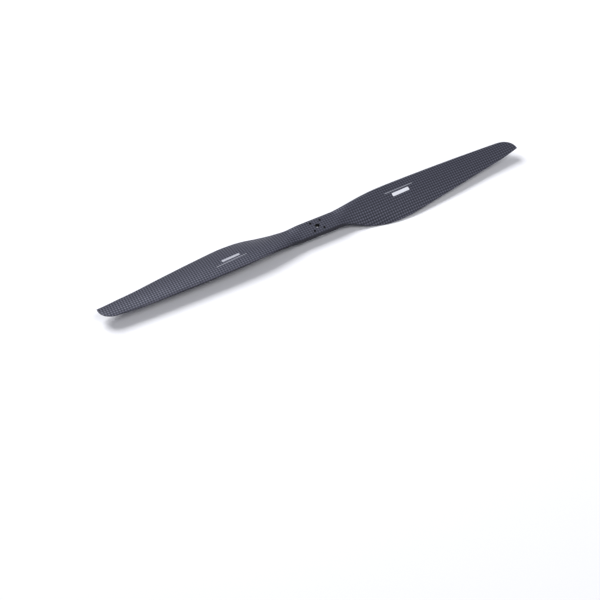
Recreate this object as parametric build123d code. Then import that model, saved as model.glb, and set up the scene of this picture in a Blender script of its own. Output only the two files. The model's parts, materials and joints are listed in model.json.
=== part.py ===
"""Two-blade carbon-fibre multirotor propeller, turning anticlockwise as seen from above.

Units are millimetres.  Z is the spin axis and thrust is +Z.  The motor face of the hub lies on
Z = 0, with the origin at the centre of the bore.  Blade A lies along +X with its leading edge
toward +Y, and blade B is blade A turned half a turn about Z.

The propeller is a bonded sandwich: two woven skins that run from tip to tip, a unidirectional
spar cap and a hub doubler under each skin, a solid hub block, and in each blade a foam core,
a leading-edge roving, a trailing-edge strip and a solid tip filler.
"""
from build123d import *
from math import cos, pi, radians, sin, sqrt
import os

# ---------------------------------------------------------------- driving dimensions
DIAMETER = 558.8                # 22 inch disc
RADIUS = DIAMETER / 2

HUB_WIDTH = 24.0                # across the blades, along Y
HUB_THICKNESS = 6.5             # between the two clamping faces
HUB_FLAT_END = 24.0             # the clamping faces end here, along X
HUB_CORNER_POWER = 5.0          # power of the superellipse that rounds the hub's long edges
FACING_STOCK = 0.05             # moulded proud of each clamping face, then faced off

BORE_DIAMETER = 6.0
DRILL_DEPTH = 4 * HUB_THICKNESS # long enough to go right through
SCREW_CIRCLE = 18.0             # pitch circle of the screws that clamp the hub
SCREW_HOLE = 3.2                # clearance hole for M3
SCREW_COUNT = 4
SCREW_START_ANGLE = 45.0        # first screw hole, from +X

SKIN = 0.4                      # woven skin
SKIN_SHARE = 0.42               # most of the local half thickness that a skin may take
SPAR_CAP = 0.25                 # unidirectional cap under each skin
SPAR_SHARE = 0.18               # most of the local half thickness that a cap may take
DOUBLER = 0.5                   # extra hub plies under each spar cap
BOND = 0.05                     # adhesive line between neighbouring pieces

HUB_BLOCK_END = 42.0            # the hub block and its doublers end here, along X
CORE_END = 246.0                # the spar caps, core, roving and strip end here
FILLER_END = 270.0              # the solid tip filler ends here

LEADING_LAND = 2.2              # skins bonded straight to each other along the leading edge
TRAILING_LAND = 5.5             # and along the thinner trailing edge
LEADING_LAND_SHARE = 0.11       # most of the chord that each land may take
TRAILING_LAND_SHARE = 0.2
ROVING_WIDTH = 3.0              # leading-edge roving
STRIP_WIDTH = 4.0               # trailing-edge strip
EDGE_PIECE_SHARE = 0.2          # most of the chord that the roving or the strip may take

LEADING_FLAT = 0.15             # half height of the flash line along the leading edge
TRAILING_FLAT = 0.3             # half height of the blunt trailing edge
HUB_FLAT = 0.4                  # half height of the moulding line along the hub
CAMBER = 0.035                  # camber as a fraction of chord
# Half height of the aerofoil as a share of its greatest, in powers 1/2, 1, 2, 3 and 4 of q: the
# usual four-digit thickness form, closed at the trailing edge.
AEROFOIL = (2.969, -1.26, -3.516, 2.843, -1.036)
BLEND_START, BLEND_END = 20.0, 62.0     # the hub section becomes an aerofoil between these
NARROW_START, NARROW_END = 22.0, 40.0   # the plies narrow here, to clear the roving and strip

# The blade's design stations, from the spin axis outward: distance along the blade, Y of the
# leading edge, Y of the trailing edge, twist in degrees, Z of the middle of the chord, thickness.
HUB_MID = HUB_THICKNESS / 2
HUB_MOULDED = HUB_THICKNESS + 2 * FACING_STOCK
BLADE_STATIONS = [
    (0, HUB_WIDTH / 2, -HUB_WIDTH / 2, 0, HUB_MID, HUB_MOULDED),
    (20, HUB_WIDTH / 2, -HUB_WIDTH / 2, 0, HUB_MID, HUB_MOULDED),
    (24, 12.1, -11.9, 0, HUB_MID, 6.45),
    (31, 12.4, -12.1, 5.0, 3.35, 6.3),
    (40, 13.0, -13.6, 12.5, 3.4, 6.0),
    (50, 14.1, -17.6, 17.5, 2.7, 5.6),
    (61, 15.2, -21.8, 20.5, 1.8, 5.1),
    (73, 16.2, -25.4, 21.0, 1.35, 4.7),
    (84, 17.0, -28.0, 19.5, 1.45, 4.4),
    (98, 17.6, -29.4, 17.3, 1.75, 4.1),
    (114, 18.0, -29.2, 15.5, 2.1, 3.9),
    (130, 18.1, -27.3, 14.1, 2.6, 3.7),
    (150, 18.1, -24.5, 12.9, 3.1, 3.4),
    (190, 17.6, -18.4, 10.8, 4.1, 2.8),
    (235, 16.2, -11.3, 9.2, 5.1, 2.2),
    (255, 14.9, -8.7, 8.3, 6.0, 1.9),
    (RADIUS, 11.0, -4.3, 7.0, 8.0, 0.9),
]
TIP_START = 258.0               # the leading edge starts to round over here
TIP_OVERRUN = 0.1               # the tip's rounded outline would close this far past the tip
TIP_POWER = 2.3                 # power of the superellipse that rounds the leading edge there
TIP_ANGLES = (12, 24, 36, 48, 58, 67, 75, 81)       # tip sections, in degrees of that curve
SECTION_POINTS = 19             # points along one side of a section

SECTION_PLACES = (
    [4.0 * i for i in range(16)]
    + [66.0 + 6.0 * i for i in range(7)]
    + [112.0 + 10.0 * i for i in range(15)]
    + [TIP_START + (RADIUS - TIP_START) * sin(radians(angle)) for angle in TIP_ANGLES]
    + [RADIUS]
)


# ---------------------------------------------------------------- the blade's shape
def slope(k, places, values):
    """Slope at station k that lets the curve through the stations make no bump between them."""
    if k in (0, len(places) - 1):
        j = min(k, len(places) - 2)
        return (values[j + 1] - values[j]) / (places[j + 1] - places[j])
    before = (values[k] - values[k - 1]) / (places[k] - places[k - 1])
    after = (values[k + 1] - values[k]) / (places[k + 1] - places[k])
    if before * after <= 0:
        return 0.0
    return 2 * before * after / (before + after)


def station_value(place, column):
    """One column of the design stations at any place along the blade, by cubic pieces."""
    places = [row[0] for row in BLADE_STATIONS]
    values = [row[column] for row in BLADE_STATIONS]
    k = max(i for i in range(len(places) - 1) if places[i] <= place)
    span = places[k + 1] - places[k]
    t = (place - places[k]) / span
    start, end = slope(k, places, values) * span, slope(k + 1, places, values) * span
    return (
        values[k] * (2 * t**3 - 3 * t**2 + 1)
        + start * (t**3 - 2 * t**2 + t)
        + values[k + 1] * (3 * t**2 - 2 * t**3)
        + end * (t**3 - t**2)
    )


def smooth_step(place, start, end):
    """0 before start and 1 after end, with a smooth change between."""
    t = min(max((place - start) / (end - start), 0.0), 1.0)
    return t * t * (3 - 2 * t)


class Section:
    """The cross-section at one distance from the spin axis, in the plane across the blade.

    Places across it are q, the fraction of the chord behind the leading edge.
    """

    def __init__(self, place):
        self.place = place
        leading, trailing = station_value(place, 1), station_value(place, 2)
        if place > TIP_START:
            t = (place - TIP_START) / (RADIUS + TIP_OVERRUN - TIP_START)
            rounding = (1 - t**TIP_POWER) ** (1 / TIP_POWER)
            leading = trailing + (station_value(TIP_START, 1) - trailing) * rounding
        self.twist = radians(station_value(place, 3))
        self.chord = (leading - trailing) / cos(self.twist)
        self.middle = Vector(0, (leading + trailing) / 2, station_value(place, 4))
        self.half = station_value(place, 5) / 2
        self.hub = 1 - smooth_step(place, BLEND_START, BLEND_END)
        self.skin = min(SKIN, SKIN_SHARE * self.half)
        self.spar_cap = min(SPAR_CAP, SPAR_SHARE * self.half)
        self.front_land = min(LEADING_LAND / self.chord, LEADING_LAND_SHARE)
        back_land = min(TRAILING_LAND / self.chord, TRAILING_LAND_SHARE)
        self.back_land = self.hub * self.front_land + (1 - self.hub) * back_land

    def half_height(self, q):
        """Half of the section's thickness at q: part superellipse, part aerofoil."""
        powers = (sqrt(q), q, q**2, q**3, q**4)
        blade = sum(factor * power for factor, power in zip(AEROFOIL, powers))
        hub = max(0.0, 1 - abs(2 * q - 1) ** HUB_CORNER_POWER) ** (1 / HUB_CORNER_POWER)
        leading = self.hub * HUB_FLAT + (1 - self.hub) * LEADING_FLAT
        trailing = self.hub * HUB_FLAT + (1 - self.hub) * TRAILING_FLAT
        edge = leading + (trailing - leading) * q
        return edge + (self.half - edge) * (self.hub * hub + (1 - self.hub) * blade)

    def point(self, q, side, depth):
        """A point depth below the upper (side 1) or lower (side -1) surface; side 0 is the mean line."""
        along = (0.5 - q) * self.chord
        height = (1 - self.hub) * CAMBER * self.chord * 4 * q * (1 - q)
        if side:
            height += side * (self.half_height(q) - depth)
        y = along * cos(self.twist) - height * sin(self.twist)
        z = along * sin(self.twist) + height * cos(self.twist)
        return self.middle + Vector(0, y, z)


PARAMETERS = [(1 - cos(pi * i / (SECTION_POINTS - 1))) / 2 for i in range(SECTION_POINTS)]


def across(section, q_range, side, depth):
    """Points from one q to another, closer together toward both ends."""
    first, last = q_range
    lift = Vector(section.place, 0, 0)
    return [lift + section.point(first + (last - first) * t, side, depth) for t in PARAMETERS]


def closed_wire(point_lists):
    """A closed wire: a list of two points makes a straight edge, a longer one a smooth edge."""
    return Wire(
        [
            Edge.make_spline(points, parameters=PARAMETERS) if len(points) > 2 else Edge.make_line(*points)
            for points in point_lists
        ]
    )


def loft_blade(outline):
    """Loft outline(section), a list of point lists, along blade A from the spin axis to the tip."""
    sections = [Section(place) for place in SECTION_PLACES]
    return Solid.make_loft([closed_wire(outline(section)) for section in sections], False)


def layer(q_range, top, bottom):
    """Blade A's solid between two surfaces, over the width q_range(section).

    top and bottom are each (side, depth(section)).
    """

    def outline(section):
        upper = across(section, q_range(section), top[0], top[1](section))
        lower = across(section, q_range(section), bottom[0], bottom[1](section))
        lower.reverse()
        return [upper, [upper[-1], lower[0]], lower, [lower[-1], upper[0]]]

    return loft_blade(outline)


def skin(side):
    """Blade A's skin: the outer surface, an inner surface below it, and a land along each edge."""

    def outline(section):
        inner_range = (section.front_land, 1 - section.back_land)
        outer = across(section, (0.0, 1.0), side, 0)
        inner = across(section, inner_range, side, section.skin)
        inner.reverse()
        bond = Vector(section.place, 0, side * BOND / 2)
        front, back = (section.point(q, 0, 0) + bond for q in (0.0, 1.0))
        front_in, back_in = (section.point(q, 0, 0) + bond for q in inner_range)
        return [
            outer,
            [outer[-1], back],
            [back, back_in],
            [back_in, inner[0]],
            inner,
            [inner[-1], front_in],
            [front_in, front],
            [front, outer[0]],
        ]

    return loft_blade(outline)


# ---------------------------------------------------------------- widths of the inner pieces
def cavity_width(section):
    """The whole hollow between the skins, a bond line in from each land."""
    inset = BOND / section.chord
    return (section.front_land + inset, 1 - section.back_land - inset)


def roving_width(section):
    """The front of the hollow, just behind the leading edge's land."""
    front = cavity_width(section)[0]
    return (front, front + min(ROVING_WIDTH / section.chord, EDGE_PIECE_SHARE))


def strip_width(section):
    """The back of the hollow, just ahead of the trailing edge's land."""
    back = cavity_width(section)[1]
    return (back - min(STRIP_WIDTH / section.chord, EDGE_PIECE_SHARE), back)


def core_width(section):
    """What the roving and the trailing-edge strip leave between them."""
    inset = BOND / section.chord
    return (roving_width(section)[1] + inset, strip_width(section)[0] - inset)


def ply_width(section):
    """The whole hollow in the hub, and only the core's width out on the blade."""
    share = smooth_step(section.place, NARROW_START, NARROW_END)
    wide, narrow = cavity_width(section), core_width(section)
    return tuple(w + (n - w) * share for w, n in zip(wide, narrow))


# ---------------------------------------------------------------- depths below the surface
def under_skin(section):
    return section.skin + BOND


def under_spar_cap(section):
    return under_skin(section) + section.spar_cap + BOND


def under_doubler(section):
    return under_spar_cap(section) + DOUBLER + BOND


# ---------------------------------------------------------------- cutting to length and drilling
def slab(start, end):
    """Everything between two distances along X."""
    return Pos((start + end) / 2, 0, 0) * Box(end - start, 2 * RADIUS, RADIUS)


def turned(solid):
    """Blade B's copy of a piece of blade A."""
    return solid.rotate(Axis.Z, 180)


def tip_to_tip(solid):
    """One piece that runs through the hub into both blades."""
    return solid + turned(solid)


def drill(solid):
    """The bore and the screw holes, cut through every piece of the hub."""
    holes = [Cylinder(BORE_DIAMETER / 2, DRILL_DEPTH)]
    holes += [
        Rot(Z=SCREW_START_ANGLE + 360 / SCREW_COUNT * i)
        * Pos(SCREW_CIRCLE / 2, 0, 0)
        * Cylinder(SCREW_HOLE / 2, DRILL_DEPTH)
        for i in range(SCREW_COUNT)
    ]
    return solid - holes


def face_hub(solid, side):
    """Face off the stock above (side 1) or below (side -1) a clamping face."""
    face_z = HUB_THICKNESS if side > 0 else 0
    waste = Box(2 * HUB_FLAT_END, 2 * HUB_WIDTH, HUB_THICKNESS)
    return solid - Pos(0, 0, face_z + side * HUB_THICKNESS / 2) * waste


# ---------------------------------------------------------------- the pieces
def make_skin(side):
    return face_hub(drill(tip_to_tip(skin(side))), side)


def spar_cap(side):
    def bottom(section):
        return under_skin(section) + section.spar_cap

    half = layer(ply_width, (side, under_skin), (side, bottom)) & slab(0, CORE_END)
    return drill(tip_to_tip(half))


def hub_doubler(side):
    def bottom(section):
        return under_spar_cap(section) + DOUBLER

    half = layer(ply_width, (side, under_spar_cap), (side, bottom)) & slab(0, HUB_BLOCK_END)
    return drill(tip_to_tip(half))


def between(width, depth):
    """Blade A's solid between the same depth below both surfaces."""
    return layer(width, (1, depth), (-1, depth))


def hub_block():
    half = between(ply_width, under_doubler) & slab(0, HUB_BLOCK_END)
    return drill(tip_to_tip(half))


def make_pieces():
    """Every piece of the propeller, by name."""
    blade_length = slab(HUB_BLOCK_END + BOND, CORE_END)
    blade_pieces = {
        "foam_core": between(core_width, under_spar_cap) & blade_length,
        "leading_edge_roving": between(roving_width, under_skin) & blade_length,
        "trailing_edge_strip": between(strip_width, under_skin) & blade_length,
        "tip_filler": between(cavity_width, under_skin) & slab(CORE_END + BOND, FILLER_END),
    }
    pieces = {
        "upper_skin": make_skin(1),
        "lower_skin": make_skin(-1),
        "upper_spar_cap": spar_cap(1),
        "lower_spar_cap": spar_cap(-1),
        "upper_hub_doubler": hub_doubler(1),
        "lower_hub_doubler": hub_doubler(-1),
        "hub_block": hub_block(),
    }
    for name, solid in blade_pieces.items():
        pieces[name + "_a"] = solid
        pieces[name + "_b"] = turned(solid)
    return pieces


os.makedirs("parts", exist_ok=True)
for name, solid in make_pieces().items():
    export_step(solid, f"parts/{name}.step")
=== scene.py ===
import json
from math import cos, pi, radians, sin

import bpy
from mathutils import Matrix, Vector
from mathutils.bvhtree import BVHTree


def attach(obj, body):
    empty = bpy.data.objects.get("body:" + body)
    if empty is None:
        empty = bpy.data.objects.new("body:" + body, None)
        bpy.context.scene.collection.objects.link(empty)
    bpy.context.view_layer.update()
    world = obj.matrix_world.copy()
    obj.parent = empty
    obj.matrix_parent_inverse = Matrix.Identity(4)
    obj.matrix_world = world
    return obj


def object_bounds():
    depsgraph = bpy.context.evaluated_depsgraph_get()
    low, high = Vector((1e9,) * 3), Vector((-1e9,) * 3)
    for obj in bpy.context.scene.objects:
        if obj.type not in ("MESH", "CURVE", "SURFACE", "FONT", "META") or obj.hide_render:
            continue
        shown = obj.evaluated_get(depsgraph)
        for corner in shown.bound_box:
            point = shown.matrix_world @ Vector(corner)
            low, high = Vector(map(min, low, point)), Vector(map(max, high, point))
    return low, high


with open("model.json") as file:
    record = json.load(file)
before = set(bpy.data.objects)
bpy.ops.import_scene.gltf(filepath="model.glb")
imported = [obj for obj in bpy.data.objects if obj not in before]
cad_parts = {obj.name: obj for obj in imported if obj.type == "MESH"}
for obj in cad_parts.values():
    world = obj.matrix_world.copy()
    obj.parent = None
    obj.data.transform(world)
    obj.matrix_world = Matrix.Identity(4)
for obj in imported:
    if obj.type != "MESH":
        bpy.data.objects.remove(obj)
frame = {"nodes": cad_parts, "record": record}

MM = 0.001
cad_low, cad_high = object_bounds()
nodes = frame["nodes"]
mounts = {mount["name"]: mount for mount in frame["record"]["mounts"]}

# ------------------------------------------------------------------ sizes
TOW_WIDTH = 2.25 * MM           # one tow of the woven skins
TOW_ANGLE = 45                  # degrees between the tows and the blades
TOW_CROWN = 0.14 * MM           # height of each crossing
FILAMENTS_PER_METRE = 7000
FILAMENT_STRETCH = 12           # a filament streak is this many times longer than it is wide
PLY = 0.25 * MM                 # one ply of the solid laminate
FOAM_CELLS_PER_METRE = 2500
SCREW_ANGLE = 45                # degrees from the blades to the first screw hole
SCUFF_START, SCUFF_END = 0.12 * MM, 0.32 * MM   # scuffing fades out between these, from a rim

# Colours, linear.  The woven skins are bluish charcoal carbon in matte epoxy.
WEAVE_DARK = (0.003, 0.003, 0.005, 1)
WEAVE_MIDDLE = (0.006, 0.006, 0.009, 1)
# Over-tows: the weave's own pattern, made paler as painted sheen of the fibres.
WEAVE_PALE_AND_SHEEN = (0.075, 0.076, 0.101, 1)
FILAMENT = (0.075, 0.078, 0.100, 1)
RESIN_GROOVE = (0.006, 0.006, 0.009, 1)
# Steep faces and rounded edges: resin colour, darkened further as painted shade.
EDGE_RESIN_AND_SHADE = (0.010, 0.010, 0.013, 1)
EDGE_FIBRE_AND_SHADE = (0.020, 0.020, 0.026, 1)
BARE_FIBRE = (0.130, 0.132, 0.145, 1)
SHEEN_TINT = (0.80, 0.83, 1.0, 1)
STRAND_DARK, STRAND_PALE = (0.012, 0.012, 0.014, 1), (0.060, 0.061, 0.068, 1)
STRAND_BAND = (0.02, 0.02, 0.023, 1)
PLY_DARK, PLY_PALE = (0.014, 0.014, 0.016, 1), (0.052, 0.053, 0.060, 1)
FOAM_DARK, FOAM_PALE = (0.78, 0.72, 0.60, 1), (0.86, 0.81, 0.70, 1)
FOAM_CELL_WALL = (0.55, 0.49, 0.38, 1)
RESIN_DARK, RESIN_PALE = (0.030, 0.030, 0.033, 1), (0.048, 0.048, 0.052, 1)
RESIN_FLECK = (0.16, 0.16, 0.17, 1)
INK_SPECK = (0.12, 0.12, 0.14, 1)
CARD_DARK, CARD_PALE = (0.90, 0.90, 0.91, 1), (0.94, 0.94, 0.95, 1)

# Plain printed marks on the upper skin: the blade's turn about the hub in degrees, the start and
# the end in millimetres (x out from the hub, y toward the leading edge), the width and the ink.
MARKS = {
    "solid_bar_a": (0, (103.0, 0.1), (126.0, 0.7), 4.4, "white"),
    "thin_line_a": (0, (94.5, 5.0), (133.5, 5.7), 0.8, "grey"),
    "solid_bar_b": (180, (101.0, -4.2), (124.0, -3.0), 3.6, "pale"),
    "thin_line_b": (180, (93.5, 0.2), (133.5, 3.2), 0.8, "grey"),
}
# Each ink's worn and fresh colour.
INK_COLOURS = {
    "white": ((0.66, 0.67, 0.71, 1), (0.78, 0.79, 0.83, 1)),
    "pale": ((0.34, 0.35, 0.39, 1), (0.46, 0.47, 0.51, 1)),
    "grey": ((0.24, 0.25, 0.28, 1), (0.34, 0.35, 0.39, 1)),
}
INK_HEIGHT = 0.03 * MM          # above the skin, and as far into it
MARK_CORNER = 0.8 * MM          # greatest radius of a mark's corners
MARK_STEPS = (36, 6)            # mesh steps along and across a mark

# Soft lights: place, aim and size in metres, power in watts, colour.
SOFTBOXES = {
    "key_softbox": ((-0.62, 1.71, 2.07), (-0.2, 0, 0), (1.5, 1.3), 84, (0.96, 0.965, 1.0)),
    "fill_softbox": ((0.74, -1.0, 2.03), (0.08, 0, 0), (1.4, 1.4), 22, (0.97, 0.97, 1.0)),
}
WORLD_STRENGTH = 0.20
WORLD_COLOUR = (0.86, 0.89, 1.0, 1)
FLOOR_HALF_SIZE = 4.0
FLOOR_GAP = 0.2 * MM            # the floor lies this far below the lowest point

# The camera: angles in degrees, then lengths in metres, then its lens and sensor in millimetres.
CAMERA_AZIMUTH, CAMERA_ELEVATION, CAMERA_ROLL = -24.1, 54.05, -2.7
CAMERA_TARGET = (-66.4 * MM, -87.3 * MM, 3.25 * MM)
CAMERA_DISTANCE = 1.2215
CAMERA_LENS, CAMERA_SENSOR = 64.1, 36.0

# The Mix node's sockets for each type of data: its two inputs and its output.
MIX_SOCKETS = {"FLOAT": (2, 3, 0), "VECTOR": (4, 5, 1), "RGBA": (6, 7, 2)}


# ------------------------------------------------------------------ node helpers
class Nodes:
    """Short calls for building one material's node tree."""

    def __init__(self, name):
        self.material = bpy.data.materials.new(name)
        self.material.use_nodes = True
        self.tree = self.material.node_tree
        self.tree.nodes.clear()
        self.shader = self.add("ShaderNodeBsdfPrincipled")
        output = self.add("ShaderNodeOutputMaterial")
        self.link(self.shader.outputs["BSDF"], output.inputs["Surface"])
        coordinates = self.add("ShaderNodeTexCoord")
        self.position, self.normal = coordinates.outputs["Object"], coordinates.outputs["Normal"]

    def add(self, kind, **settings):
        node = self.tree.nodes.new(kind)
        for key, value in settings.items():
            setattr(node, key, value)
        return node

    def link(self, source, target):
        self.tree.links.new(source, target)

    def feed(self, socket, value):
        if isinstance(value, bpy.types.NodeSocket):
            self.link(value, socket)
        else:
            socket.default_value = value

    def math(self, operation, *values):
        node = self.add("ShaderNodeMath", operation=operation)
        for socket, value in zip(node.inputs, values):
            self.feed(socket, value)
        return node.outputs[0]

    def distance(self, x, y):
        squares = [self.math("MULTIPLY", value, value) for value in (x, y)]
        return self.math("SQRT", self.math("ADD", *squares))

    def turned(self, vector, degrees=0.0, scale=(1.0, 1.0, 1.0)):
        node = self.add("ShaderNodeMapping", vector_type="POINT")
        self.link(vector, node.inputs["Vector"])
        node.inputs["Rotation"].default_value = (0, 0, radians(degrees))
        node.inputs["Scale"].default_value = scale
        return node.outputs["Vector"]

    def split(self, vector):
        node = self.add("ShaderNodeSeparateXYZ")
        self.link(vector, node.inputs[0])
        return node.outputs

    def noise(self, scale, detail=2.0, roughness=0.5, vector=None):
        node = self.add("ShaderNodeTexNoise")
        self.link(self.position if vector is None else vector, node.inputs["Vector"])
        node.inputs["Scale"].default_value = scale
        node.inputs["Detail"].default_value = detail
        node.inputs["Roughness"].default_value = roughness
        return node.outputs["Fac"]

    def remap(self, value, from_low, from_high, to_low, to_high, smooth=False):
        kind = "SMOOTHSTEP" if smooth else "LINEAR"
        node = self.add("ShaderNodeMapRange", interpolation_type=kind)
        self.link(value, node.inputs["Value"])
        node.inputs["From Min"].default_value = from_low
        node.inputs["From Max"].default_value = from_high
        node.inputs["To Min"].default_value = to_low
        node.inputs["To Max"].default_value = to_high
        return node.outputs["Result"]

    def mix(self, factor, first, second, kind="RGBA"):
        node = self.add("ShaderNodeMix", data_type=kind)
        first_input, second_input, output = MIX_SOCKETS[kind]
        self.feed(node.inputs[0], factor)
        self.feed(node.inputs[first_input], first)
        self.feed(node.inputs[second_input], second)
        return node.outputs[output]

    def bump(self, height, distance, strength):
        node = self.add("ShaderNodeBump")
        node.inputs["Strength"].default_value = strength
        node.inputs["Distance"].default_value = distance
        self.link(height, node.inputs["Height"])
        return node.outputs["Normal"]

    def set(self, **values):
        for key, value in values.items():
            self.feed(self.shader.inputs[key.replace("_", " ")], value)


# ------------------------------------------------------------------ materials
def hole_scuff(m):
    """How scuffed the skin is: up to 1 at the drilled rims of the bore and the screw holes."""
    x, y, _ = m.split(m.position)
    bore, screws = mounts["shaft_bore"]["dims"], mounts["screw_holes"]["dims"]
    centre = screws["pcd_mm"] * MM / 2 * cos(radians(SCREW_ANGLE))
    from_bore = m.math("SUBTRACT", m.distance(x, y), bore["r_mm"] * MM)
    corner_x = m.math("SUBTRACT", m.math("ABSOLUTE", x), centre)
    corner_y = m.math("SUBTRACT", m.math("ABSOLUTE", y), centre)
    from_screw = m.math("SUBTRACT", m.distance(corner_x, corner_y), screws["hole_r_mm"] * MM)
    from_rim = m.math("MINIMUM", from_bore, from_screw)
    ragged = m.math("ADD", from_rim, m.math("MULTIPLY", m.noise(2500.0), 0.25 * MM))
    return m.remap(ragged, SCUFF_START, SCUFF_END, 0.8, 0.0, smooth=True)


def woven_carbon():
    """Matte plain weave: tows at 45 degrees to the blades, each crossing a small crowned square."""
    m = Nodes("woven_carbon")
    turned = m.turned(m.position, TOW_ANGLE)
    x, y, _ = m.split(turned)
    along = m.math("SINE", m.math("MULTIPLY", x, pi / TOW_WIDTH))
    across = m.math("SINE", m.math("MULTIPLY", y, pi / TOW_WIDTH))
    checker = m.math("MULTIPLY", along, across)
    over = m.remap(checker, -0.12, 0.12, 0.0, 1.0, smooth=True)
    crown = m.math("ABSOLUTE", checker)
    fine, coarse = FILAMENTS_PER_METRE, FILAMENTS_PER_METRE / FILAMENT_STRETCH
    fibres_a = m.noise(1.0, 3.0, 0.6, m.turned(turned, scale=(coarse, fine, coarse)))
    fibres_b = m.noise(1.0, 3.0, 0.6, m.turned(turned, scale=(fine, coarse, coarse)))
    fibres = m.mix(over, fibres_a, fibres_b, "FLOAT")
    cloud = m.noise(16.0, 3.0)
    dark = m.mix(cloud, WEAVE_DARK, WEAVE_MIDDLE)
    # Over-tows paler than under-tows: the weave pattern, with painted sheen in the colour.
    tow_and_sheen = m.mix(over, dark, WEAVE_PALE_AND_SHEEN)
    streaked = m.mix(m.remap(fibres, 0.4, 0.75, 0.0, 0.5), tow_and_sheen, FILAMENT)
    grooved = m.mix(m.remap(crown, 0.0, 0.2, 0.8, 0.0), streaked, RESIN_GROOVE)
    scuffed = m.mix(hole_scuff(m), grooved, BARE_FIBRE)
    # Steep faces and rounded edges take a dark colour: resin without the weave, and painted shade
    # where the faces turn away from the top.
    level = m.math("ABSOLUTE", m.split(m.normal)[2])
    facing = m.remap(level, 0.3, 0.65, 0.0, 1.0, smooth=True)
    edge_resin_and_shade = m.mix(m.noise(700.0, 3.0), EDGE_RESIN_AND_SHADE, EDGE_FIBRE_AND_SHADE)
    relief = m.math("ADD", m.math("MULTIPLY", crown, 0.85), m.math("MULTIPLY", fibres, 0.15))
    height = m.math("MULTIPLY", relief, facing)
    polish = m.math("MULTIPLY", m.math("MULTIPLY", over, crown), m.math("MULTIPLY", facing, 0.33))
    tow_x, tow_y = cos(radians(TOW_ANGLE)), sin(radians(TOW_ANGLE))
    tangent = m.mix(over, (tow_x, -tow_y, 0), (tow_x, tow_y, 0), "VECTOR")
    m.set(
        Base_Color=m.mix(facing, edge_resin_and_shade, scuffed),
        Roughness=m.math("SUBTRACT", m.remap(m.noise(240.0), 0.3, 0.7, 0.53, 0.61), polish),
        Specular_IOR_Level=0.42,
        Specular_Tint=SHEEN_TINT,
        Anisotropic=0.7,
        Tangent=tangent,
        Normal=m.bump(height, TOW_CROWN, 0.7),
    )
    return m.material


def straight_fibre():
    """Unidirectional carbon: fine fibres along the blades in dark epoxy."""
    m = Nodes("straight_fibre")
    strands = m.noise(1.0, 4.0, 0.6, m.turned(m.position, scale=(60, 7000, 7000)))
    bands = m.noise(1.0, 2.0, 0.5, m.turned(m.position, scale=(12, 900, 900)))
    base = m.mix(strands, STRAND_DARK, STRAND_PALE)
    m.set(
        Base_Color=m.mix(m.remap(bands, 0.4, 0.65, 0.0, 0.5), base, STRAND_BAND),
        Roughness=m.remap(strands, 0.3, 0.7, 0.32, 0.5),
        Normal=m.bump(strands, 0.03 * MM, 0.5),
    )
    return m.material


def laminate():
    """Drilled solid laminate: thin ply lines stacked through the thickness."""
    m = Nodes("laminate")
    _, _, z = m.split(m.position)
    ripple = m.math("MULTIPLY", m.noise(300.0, 2.0), PLY)
    plies = m.math("SINE", m.math("MULTIPLY", m.math("ADD", z, ripple), 2 * pi / PLY))
    base = m.mix(m.remap(plies, -1, 1, 0, 1), PLY_DARK, PLY_PALE)
    m.set(
        Base_Color=base,
        Roughness=m.remap(m.noise(900.0), 0.3, 0.7, 0.45, 0.65),
        Normal=m.bump(plies, 0.01 * MM, 0.4),
    )
    return m.material


def rigid_foam():
    """Closed-cell foam: pale, with fine open cells on its cut faces."""
    m = Nodes("rigid_foam")
    cells = m.add("ShaderNodeTexVoronoi", feature="DISTANCE_TO_EDGE")
    m.link(m.position, cells.inputs["Vector"])
    cells.inputs["Scale"].default_value = FOAM_CELLS_PER_METRE
    wall = cells.outputs["Distance"]
    base = m.mix(m.noise(60.0, 3.0), FOAM_DARK, FOAM_PALE)
    m.set(
        Base_Color=m.mix(m.remap(wall, 0.0, 0.25, 0.4, 0.0), base, FOAM_CELL_WALL),
        Roughness=m.remap(m.noise(400.0), 0.3, 0.7, 0.8, 0.95),
        Normal=m.bump(wall, 0.15 * MM, 0.7),
    )
    return m.material


def filled_resin():
    """Epoxy thickened with milled fibre: dark grey with short pale flecks."""
    m = Nodes("filled_resin")
    flecks = m.noise(2600.0, 3.0, 0.7, m.turned(m.position, 20, (1.0, 3.0, 1.0)))
    base = m.mix(m.noise(90.0), RESIN_DARK, RESIN_PALE)
    m.set(
        Base_Color=m.mix(m.remap(flecks, 0.6, 0.7, 0.0, 0.6), base, RESIN_FLECK),
        Roughness=m.remap(flecks, 0.3, 0.7, 0.35, 0.55),
        Normal=m.bump(flecks, 0.02 * MM, 0.4),
    )
    return m.material


def printed_ink(name, worn, fresh):
    """Screen-printed ink, rubbed through in small specks."""
    m = Nodes(name + "_ink")
    wear = m.noise(1500.0, 4.0, 0.7)
    base = m.mix(m.noise(200.0), worn, fresh)
    m.set(
        Base_Color=m.mix(m.remap(wear, 0.62, 0.75, 0.0, 0.5), base, INK_SPECK),
        Roughness=m.remap(wear, 0.3, 0.7, 0.5, 0.65),
        Normal=m.bump(wear, 0.01 * MM, 0.4),
    )
    return m.material


def paper_white():
    """The studio floor: pale matte card with a very faint grain."""
    m = Nodes("paper_white")
    grain = m.noise(900.0, 3.0)
    m.set(
        Base_Color=m.mix(grain, CARD_DARK, CARD_PALE),
        Roughness=0.9,
        Normal=m.bump(grain, 0.05 * MM, 0.2),
    )
    return m.material


MATERIAL_OF_SLOT = {
    "woven_carbon": woven_carbon(),
    "unidirectional_carbon": straight_fibre(),
    "carbon_laminate": laminate(),
    "rigid_foam": rigid_foam(),
    "filled_resin": filled_resin(),
}
for subpart in frame["record"]["subparts"]:
    mesh = nodes[subpart["node"]].data
    mesh.materials.clear()
    mesh.materials.append(MATERIAL_OF_SLOT[subpart["material_slot"]])


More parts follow.
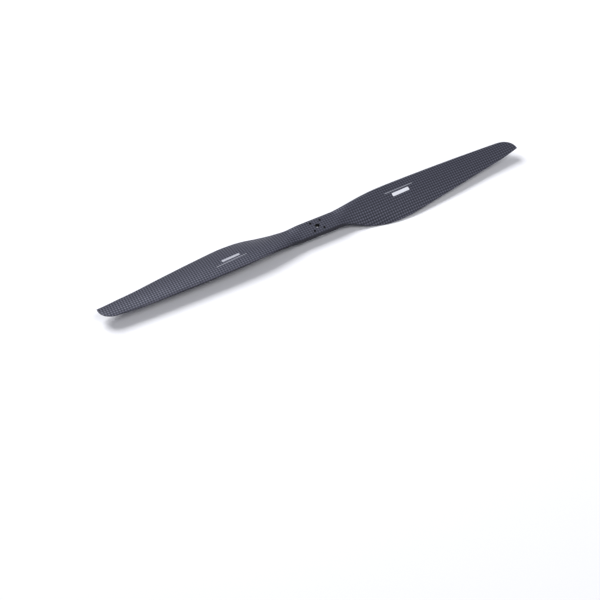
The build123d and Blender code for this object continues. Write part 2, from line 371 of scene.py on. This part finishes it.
# ------------------------------------------------------------------ printed marks
def surface_finder(node):
    """Looks straight down onto a CAD node and gives its height at any x and y."""
    mesh = nodes[node].data
    tree = BVHTree.FromPolygons(
        [vertex.co for vertex in mesh.vertices], [face.vertices for face in mesh.polygons]
    )
    above = cad_high.z + 10 * MM
    return lambda x, y: tree.ray_cast(Vector((x, y, above)), Vector((0, 0, -1)))[0].z


def add_mark(name, turn, start, end, width, ink, height_at):
    """One bar of ink: a thin closed solid that follows the skin, with its corners rounded."""
    start, end = Vector(start) * MM, Vector(end) * MM
    run, half = end - start, width * MM / 2
    side = Vector((-run.y, run.x)).normalized()
    corner = min(half, MARK_CORNER)
    spin = Matrix.Rotation(radians(turn), 2)
    steps, lanes = MARK_STEPS
    top, bottom = [], []
    for i in range(steps + 1):
        t = (1 - cos(pi * i / steps)) / 2
        inset = corner - min(corner, min(t, 1 - t) * run.length)
        reach = half - corner + (corner ** 2 - inset ** 2) ** 0.5
        for j in range(lanes + 1):
            x, y = spin @ (start + run * t + side * reach * (2 * j / lanes - 1))
            z = height_at(x, y)
            top.append((x, y, z + INK_HEIGHT))
            bottom.append((x, y, z - INK_HEIGHT))
    row = lanes + 1
    count = len(top)
    faces = []
    for i in range(steps):
        for j in range(lanes):
            a = i * row + j
            faces.append((a, a + row, a + row + 1, a + 1))
            faces.append((a + count, a + 1 + count, a + row + 1 + count, a + row + count))
    rim = [i * row for i in range(steps + 1)]
    rim += [steps * row + j for j in range(1, row)]
    rim += [i * row + lanes for i in range(steps - 1, -1, -1)]
    rim += list(range(lanes - 1, 0, -1))
    for a, b in zip(rim, rim[1:] + rim[:1]):
        faces.append((b, a, a + count, b + count))
    mesh = bpy.data.meshes.new(name)
    mesh.from_pydata(top + bottom, [], faces)
    mesh.validate()
    mesh.update()
    mark = bpy.data.objects.new(name, mesh)
    mesh.materials.append(ink)
    bpy.context.scene.collection.objects.link(mark)
    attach(mark, "root")


INKS = {name: printed_ink(name, *colours) for name, colours in INK_COLOURS.items()}
skin_height = surface_finder("upper_skin")
for name, (turn, start, end, width, ink) in MARKS.items():
    add_mark(name, turn, start, end, width, INKS[ink], skin_height)


# ------------------------------------------------------------------ floor, lights, camera
def add_floor():
    size = FLOOR_HALF_SIZE
    mesh = bpy.data.meshes.new("floor")
    corners = [(-size, -size, 0), (size, -size, 0), (size, size, 0), (-size, size, 0)]
    mesh.from_pydata(corners, [], [(0, 1, 2, 3)])
    floor = bpy.data.objects.new("floor", mesh)
    floor.location.z = cad_low.z - FLOOR_GAP
    mesh.materials.append(paper_white())
    bpy.context.scene.collection.objects.link(floor)


def add_softbox(name, place, aim, size, power, colour):
    light = bpy.data.lights.new(name, "AREA")
    light.shape = "RECTANGLE"
    light.size, light.size_y = size
    light.energy = power
    light.color = colour
    lamp = bpy.data.objects.new(name, light)
    lamp.location = place
    lamp.rotation_euler = (Vector(aim) - Vector(place)).to_track_quat("-Z", "Y").to_euler()
    bpy.context.scene.collection.objects.link(lamp)


def add_camera():
    """A long lens above the near side, turned to the left, with the hub above the frame's middle."""
    azimuth, elevation = radians(CAMERA_AZIMUTH), radians(CAMERA_ELEVATION)
    level = cos(elevation)
    back = Vector((sin(azimuth) * level, -cos(azimuth) * level, sin(elevation)))
    aim = (-back).to_track_quat("-Z", "Y").to_matrix()
    roll = Matrix.Rotation(radians(CAMERA_ROLL), 3, "Z")
    camera = bpy.data.cameras.new("camera")
    camera.sensor_width = CAMERA_SENSOR
    camera.lens = CAMERA_LENS
    view = bpy.data.objects.new("camera", camera)
    view.location = Vector(CAMERA_TARGET) + back * CAMERA_DISTANCE
    view.rotation_euler = (aim @ roll).to_euler()
    bpy.context.scene.collection.objects.link(view)
    bpy.context.scene.camera = view


def add_world():
    world = bpy.data.worlds.new("studio")
    world.use_nodes = True
    background = world.node_tree.nodes["Background"]
    background.inputs["Color"].default_value = WORLD_COLOUR
    background.inputs["Strength"].default_value = WORLD_STRENGTH
    bpy.context.scene.world = world


add_floor()
add_world()
for name, (place, aim, size, power, colour) in SOFTBOXES.items():
    add_softbox(name, place, aim, size, power, colour)
add_camera()
bpy.context.scene.view_settings.view_transform = "Standard"
